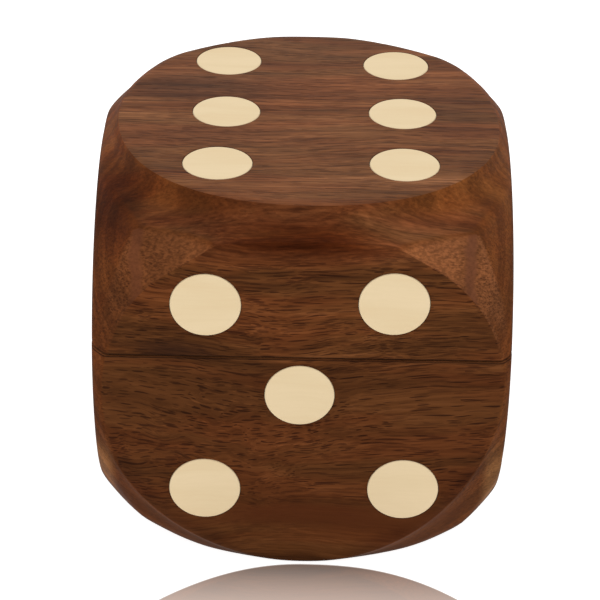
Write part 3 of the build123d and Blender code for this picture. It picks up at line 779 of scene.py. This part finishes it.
    # darker and redder just behind the ridge between top and front
    dark_red_band = t.vec("LENGTH", t.vec("MULTIPLY", t.vec("SUBTRACT", q0, (0.0, -36.6, 71.2)), (1 / 20, 1 / 7, 1 / 3.6)), out=1)
    colour = t.mix(t.range(dark_red_band, 0.25, 1.25, 0.95, 0.0), colour,
                   t.mix(1.0, colour, (0.50, 0.33, 0.17, 1.0), "MULTIPLY"))
    # painted shade: the upper left corner of the front is darkened, standing in for the shade under a bulge in the edge
    # that the shape leaves out
    painted_corner_shade = t.vec("LENGTH", t.vec("MULTIPLY", t.vec("SUBTRACT", q0, (-33.5, -20.0, 69.5)), (1 / 9, 1 / 14, 1 / 7.5)), out=1)
    colour = t.mix(t.range(painted_corner_shade, 0.35, 1.25, 0.9, 0.0), colour,
                   t.mix(1.0, colour, (0.44, 0.35, 0.30, 1.0), "MULTIPLY"))

    # painted shade: the two edges that meet at the seam are darkened, as the gap between lid and base shades them
    sawn = SEAM * 1000 if lift == 0 else (RIM + KERF) * 1000
    seam_shade = t.range(t.math("ABSOLUTE", t.math("SUBTRACT", place.outputs[2], sawn)), 0.05, 0.42, 0.92, 0.0)
    seam_shade = t.math("MULTIPLY", seam_shade, t.range(nz, 0.75, 0.95, 1.0, 0.0))
    colour = t.mix(seam_shade, colour, srgb(26, 13, 8))

    rough = t.math("ADD", 0.30, t.math("MULTIPLY", streak, 0.10))
    rough = t.math("ADD", rough, t.math("MULTIPLY", pores, 0.22))
    if bare:
        colour = t.mix(1.0, colour, (1.25, 1.28, 1.32, 1.0), "MULTIPLY")
        rough = t.math("ADD", 0.62, t.math("MULTIPLY", streak, 0.1))
    height = t.math("SUBTRACT", t.math("MULTIPLY", streak, 0.18), pores)
    bump = t.node("Bump", None, Strength=0.55 if bare else 0.25, Distance=0.00006, Height=height)
    p = t.node("BsdfPrincipled", None, Base_Color=colour, Roughness=rough, Normal=bump)
    p.inputs["Specular IOR Level"].default_value = 0.025
    p.inputs["IOR"].default_value = 1.5
    p.inputs["Sheen Weight"].default_value = 0.035
    p.inputs["Sheen Roughness"].default_value = 0.30
    p.inputs["Sheen Tint"].default_value = (1.0, 0.86, 0.76, 1.0)
    t.out(p)
    return t.mat


def pip_wood(name):
    """Pale close-grained wood of the inlaid plugs."""
    t = Tree(name)
    q = t.vec("SCALE", t.node("TexCoord").outputs["Object"], 1000.0)
    wander = t.noise(t.vec("SCALE", q, 1 / 11), 1.0, 1.0, 0.5, colour=True)
    q = t.vec("ADD", q, t.vec("MULTIPLY", t.vec("SUBTRACT", wander, (0.5, 0.5, 0.5)), (0.0, 2.2, 2.2)))
    grain = t.noise(t.vec("MULTIPLY", q, (1 / 9, 1 / 0.5, 1 / 0.5)), 1.0, 2.0, 0.6)
    broad = t.noise(t.vec("MULTIPLY", q, (1 / 30, 1 / 4.0, 1 / 4.0)), 1.0, 1.0, 0.5)
    fac = t.math("ADD", t.math("MULTIPLY", t.range(grain, 0.3, 0.7), 0.35), t.math("MULTIPLY", t.range(broad, 0.3, 0.7), 0.65))
    colour = t.ramp(fac, [(0.0, srgb(228, 203, 162)), (0.5, srgb(230, 207, 167)), (1.0, srgb(233, 210, 171))])
    fleck = t.node("TexVoronoi", {"feature": "F1"}, Vector=t.vec("MULTIPLY", q, (1 / 1.8, 1 / 0.3, 1 / 0.3)), Scale=1.0)
    fleck = t.range(fleck.outputs["Distance"], 0.22, 0.1, 0.0, 0.03)
    colour = t.mix(fleck, colour, srgb(170, 130, 86))
    bump = t.node("Bump", None, Strength=0.1, Distance=0.00003, Height=grain)
    p = t.node("BsdfPrincipled", None, Base_Color=colour, Normal=bump,
               Roughness=t.math("ADD", 0.36, t.math("MULTIPLY", grain, 0.12)))
    p.inputs["Specular IOR Level"].default_value = 0.05
    t.out(p)
    return t.mat


def metal(name, light, dark, rough, along):
    """Drawn metal with fine marks along one axis and a little tarnish."""
    t = Tree(name)
    q = t.vec("SCALE", t.node("TexCoord").outputs["Object"], 1000.0)
    stretch = {"x": (0.25, 14.0, 14.0), "none": (3.0, 3.0, 3.0)}[along]
    mark = t.noise(t.vec("MULTIPLY", q, stretch), 1.0, 2.0, 0.6)
    stain = t.noise(t.vec("SCALE", q, 0.7), 1.0, 3.0, 0.6)
    fac = t.range(stain, 0.42, 0.72, 0.0, 0.75)
    colour = t.mix(fac, light, dark)
    bump = t.node("Bump", None, Strength=0.25, Distance=0.00002, Height=mark)
    p = t.node("BsdfPrincipled", None, Base_Color=colour, Normal=bump,
               Roughness=t.math("ADD", rough, t.math("ADD", t.math("MULTIPLY", mark, 0.14), t.math("MULTIPLY", fac, 0.15))))
    p.inputs["Metallic"].default_value = 1.0
    t.out(p)
    return t.mat


WOOD_BASE = dark_wood("dark_wood_base", 0.0)
WOOD_LID = dark_wood("dark_wood_lid", KERF)
BARE_BASE = dark_wood("bare_wood_base", 0.0, bare=True)
BARE_LID = dark_wood("bare_wood_lid", KERF, bare=True)
PIP_WOOD = pip_wood("pip_wood")
BRASS = metal("brass", srgb(214, 178, 104), srgb(146, 108, 58), 0.24, "x")
SCREW_BRASS = metal("screw_brass", srgb(206, 168, 96), srgb(120, 86, 46), 0.28, "none")
NICKEL = metal("nickel", srgb(205, 203, 198), srgb(150, 147, 140), 0.18, "none")

for obj, body, shift, rim, keep, mats in (
        (base_shell, "base", 0.0, SEAM, -1, (WOOD_BASE, BARE_BASE)),
        (lid_shell, "lid", KERF, RIM, 1, (WOOD_LID, BARE_LID))):
    obj.data.materials.clear()
    for m in mats:
        obj.data.materials.append(m)
    shade(obj, shift, rim, keep)
    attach(obj, body)
    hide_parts(body + "_body")

for name, obj in NODES.items():
    if name.startswith("pip_"):
        mat = PIP_WOOD
    elif "magnets" in name:
        mat = NICKEL
    elif "screws" in name:
        mat = SCREW_BRASS
    elif "hinge" in name:
        mat = BRASS
    else:
        mat = WOOD_LID if name == "lid_body" else WOOD_BASE
    if obj.material_slots:
        for s in obj.material_slots:
            s.link = "OBJECT"
            s.material = mat
    else:
        obj.data.materials.append(mat)

# ------------------------------------------------------------------ floor
fm = Tree("pale_floor")
place = fm.node("SeparateXYZ", Vector=fm.node("TexCoord").outputs["Object"])
# a polished patch in front of the block mirrors its foot
across = fm.math("SUBTRACT", place.outputs[0], 0.001)
left = fm.math("MULTIPLY", fm.math("POWER", fm.math("MAXIMUM", fm.math("MULTIPLY", across, -1.0), 0.0), 2.0), -16.3)
right = fm.math("MULTIPLY", fm.math("POWER", fm.math("MAXIMUM", across, 0.0), 2.5), -70.0)
edge = fm.math("ADD", fm.math("ADD", left, right), -0.0375)
inside = fm.range(fm.math("SUBTRACT", edge, place.outputs[1]), 0.0, 0.0005)
polish = fm.math("MULTIPLY", inside, fm.range(place.outputs[1], -0.0637, -0.0375, 0.0, 0.883, smooth=False))
soft = fm.node("BsdfDiffuse", None, Color=(0.50, 0.50, 0.50, 1.0))
glow = fm.node("Emission", None, Color=(1.0, 1.0, 1.0, 1.0), Strength=0.90)
dim = fm.node("Emission", None, Color=(1.0, 1.0, 1.0, 1.0), Strength=0.22)
shine = fm.node("BsdfGlossy", None, Color=(1.0, 1.0, 1.0, 1.0), Roughness=0.03)
pale = fm.nt.nodes.new("ShaderNodeAddShader")
fm.nt.links.new(soft.outputs[0], pale.inputs[0])
fm.nt.links.new(glow.outputs[0], pale.inputs[1])
both = fm.nt.nodes.new("ShaderNodeMixShader")
fm.put(both, 0, polish)
# painted reflection: where the polish is deepest, its glow is tinted warm like the wood it mirrors
painted_reflection_glow = fm.node("Emission", None, Strength=1.0,
                Color=fm.mix(fm.range(polish, 0.0, 0.50, smooth=False), (1.0, 1.0, 1.0, 1.0), (1.0, 0.81, 0.71, 1.0)))
patch = fm.nt.nodes.new("ShaderNodeMixShader")
fm.put(patch, 0, inside)
fm.nt.links.new(pale.outputs[0], patch.inputs[1])
fm.nt.links.new(painted_reflection_glow.outputs[0], patch.inputs[2])
fm.nt.links.new(patch.outputs[0], both.inputs[1])
fm.nt.links.new(shine.outputs[0], both.inputs[2])
# seen in the block's own gloss, the floor is duller
last = fm.nt.nodes.new("ShaderNodeMixShader")
fm.put(last, 0, fm.node("LightPath").outputs["Is Glossy Ray"])
fm.nt.links.new(both.outputs[0], last.inputs[1])
fm.nt.links.new(dim.outputs[0], last.inputs[2])
fm.out(last)
mesh = bpy.data.meshes.new("floor")
S = 3.0
mesh.from_pydata([(-S, -S, 0), (S, -S, 0), (S, S, 0), (-S, S, 0)], [], [(0, 1, 2, 3)])
floor = bpy.data.objects.new("floor", mesh)
floor.data.materials.append(fm.mat)
floor.location = (0, 0, -0.00002)
scene.collection.objects.link(floor)


# ------------------------------------------------------------------ light
def softbox(name, place, aim, size, power):
    data = bpy.data.lights.new(name, "AREA")
    data.shape = "RECTANGLE"
    data.size, data.size_y = size
    data.energy = power
    obj = bpy.data.objects.new(name, data)
    scene.collection.objects.link(obj)
    obj.location = place
    obj.rotation_euler = (Vector(aim) - Vector(place)).to_track_quat("-Z", "Y").to_euler()
    return obj


key = softbox("overhead", (0.0, 0.05, 0.80), (0, 0, 0.03), (0.80, 0.80), 1.33)
key.visible_glossy = False

world = bpy.data.worlds.new("studio")
scene.world = world
world.use_nodes = True
wt = world.node_tree
wt.nodes.clear()


class WorldTree(Tree):
    def __init__(self, nt):
        self.nt = nt


w = WorldTree(wt)
d = w.node("TexCoord").outputs["Generated"]
xyz = w.node("SeparateXYZ", Vector=d)
path = w.node("LightPath")
gloss = path.outputs["Is Glossy Ray"]
level = w.math("ADD", w.math("MULTIPLY", gloss, w.range(xyz.outputs[1], -0.3, 0.5, 0.66, 1.0)),
               w.math("MULTIPLY", w.math("SUBTRACT", 1.0, gloss), 0.825))
level = w.math("MULTIPLY", level, w.range(xyz.outputs[0], -0.8, 0.8, 0.95, 1.09))
level = w.math("MAXIMUM", level, path.outputs["Is Camera Ray"])
bg = w.node("Background", None, Color=(1.0, 1.0, 1.0, 1.0))
w.put(bg, "Strength", level)
wo = wt.nodes.new("ShaderNodeOutputWorld")
wt.links.new(bg.outputs[0], wo.inputs[0])

scene.view_settings.view_transform = "Standard"
scene.view_settings.look = "None"
scene.view_settings.exposure = 0.0
scene.view_settings.gamma = 1.0

# ------------------------------------------------------------------ camera
AZ, EL, ROLL = math.radians(-0.071977), math.radians(31.000327), math.radians(1.077568)
back_dir = Vector((math.sin(AZ) * math.cos(EL), -math.cos(AZ) * math.cos(EL), math.sin(EL)))
right = Vector((math.cos(AZ), math.sin(AZ), 0))
upv = back_dir.cross(right)
c, s = math.cos(ROLL), math.sin(ROLL)
r2, u2 = right * c + upv * s, upv * c - right * s
place = (Vector((-0.010181, 0, -0.059153)) + back_dir * math.exp(2.477928)) * A + Vector((0, 0, A))
cam = bpy.data.cameras.new("camera")
cam.sensor_width = 36.0
cam.sensor_fit = "HORIZONTAL"
cam.lens = math.exp(7.747624) / 600 * 36.0
cam.clip_start, cam.clip_end = 0.01, 50
camera = bpy.data.objects.new("camera", cam)
scene.collection.objects.link(camera)
camera.matrix_world = Matrix((
    (r2.x, u2.x, back_dir.x, place.x),
    (r2.y, u2.y, back_dir.y, place.y),
    (r2.z, u2.z, back_dir.z, place.z),
    (0, 0, 0, 1)))
scene.camera = camera
